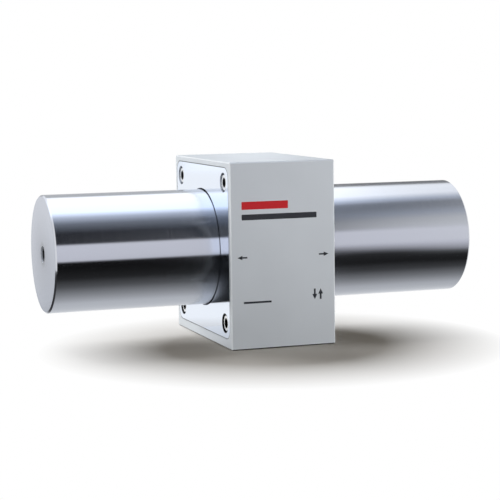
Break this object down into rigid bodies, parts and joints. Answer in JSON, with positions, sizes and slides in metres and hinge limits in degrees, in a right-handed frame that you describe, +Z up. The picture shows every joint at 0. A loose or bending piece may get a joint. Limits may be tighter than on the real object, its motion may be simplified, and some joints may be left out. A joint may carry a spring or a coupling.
{
  "type": "rotary torque sensor",
  "caption": "Rotary torque sensor: a plain ground shaft runs through a square-sided housing on ball bearings, with polished end plates, rotary transformers inside and connectors at the rear.",
  "frame": {"origin": "middle of the flat base of the case, straight below the middle of the shaft", "axes": "+X along the shaft from the drive end to the load end, +Y from the front face to the connectors at the rear, +Z up"},
  "size_m": [0.412, 0.1825, 0.172],
  "materials": {
    "case_aluminium": "satin",
    "plate_aluminium": "polished",
    "shaft_steel": "satin",
    "screw_steel": "satin",
    "bearing_steel": "polished",
    "cage_brass": "satin",
    "spring_steel": "satin",
    "ferrite": "matte",
    "copper_wire": "satin",
    "board_laminate": "satin",
    "black_plastic": "matte",
    "gauge_foil": "satin",
    "connector_metal": "satin",
    "gasket_rubber": "matte",
    "dark_ink": "matte",
    "red_ink": "matte"
  },
  "bodies": {
    "housing": {"case": "case_aluminium", "drive_end_plate": "plate_aluminium", "load_end_plate": "plate_aluminium", "drive_plate_screws": "screw_steel", "load_plate_screws": "screw_steel", "drive_outer_race": "bearing_steel", "load_outer_race": "bearing_steel", "drive_shields": "spring_steel", "load_shields": "spring_steel", "preload_spring": "spring_steel", "supply_stator_core": "ferrite", "signal_stator_core": "ferrite", "supply_stator_coil": "copper_wire", "signal_stator_coil": "copper_wire", "speed_pickup": "black_plastic", "main_board": "board_laminate", "main_board_parts": "black_plastic", "board_standoffs": "cage_brass", "board_screws": "screw_steel", "supply_connector_shell": "connector_metal", "signal_connector_shell": "connector_metal", "supply_connector_insert": "black_plastic", "signal_connector_insert": "black_plastic", "connector_gaskets": "gasket_rubber", "connector_screws": "screw_steel"},
    "rotor": {"torsion_shaft": "shaft_steel", "strain_gauges": "gauge_foil", "drive_inner_race": "bearing_steel", "load_inner_race": "bearing_steel", "drive_retaining_ring": "spring_steel", "load_retaining_ring": "spring_steel", "supply_rotor_core": "ferrite", "signal_rotor_core": "ferrite", "supply_rotor_coil": "copper_wire", "signal_rotor_coil": "copper_wire", "speed_ring": "spring_steel", "rotor_board": "board_laminate", "rotor_board_parts": "black_plastic", "rotor_board_spacers": "cage_brass", "rotor_board_screws": "screw_steel"},
    "drive_ball_set": {"drive_cage": "cage_brass", "drive_balls": "bearing_steel"},
    "load_ball_set": {"load_cage": "cage_brass", "load_balls": "bearing_steel"}
  },
  "joints": [
    {"name": "shaft_spin", "type": "hinge", "parent": "housing", "child": "rotor", "pos_m": [0, 0, 0.088], "axis": [1, 0, 0], "continuous": true},
    {"name": "drive_cage_spin", "type": "hinge", "parent": "housing", "child": "drive_ball_set", "pos_m": [-0.035, 0, 0.088], "axis": [1, 0, 0], "continuous": true},
    {"name": "load_cage_spin", "type": "hinge", "parent": "housing", "child": "load_ball_set", "pos_m": [0.035, 0, 0.088], "axis": [1, 0, 0], "continuous": true}
  ],
  "couplings": [
    {"joint": "drive_cage_spin", "follows": "shaft_spin", "ratio": 0.4652},
    {"joint": "load_cage_spin", "follows": "shaft_spin", "ratio": 0.4652}
  ]
}
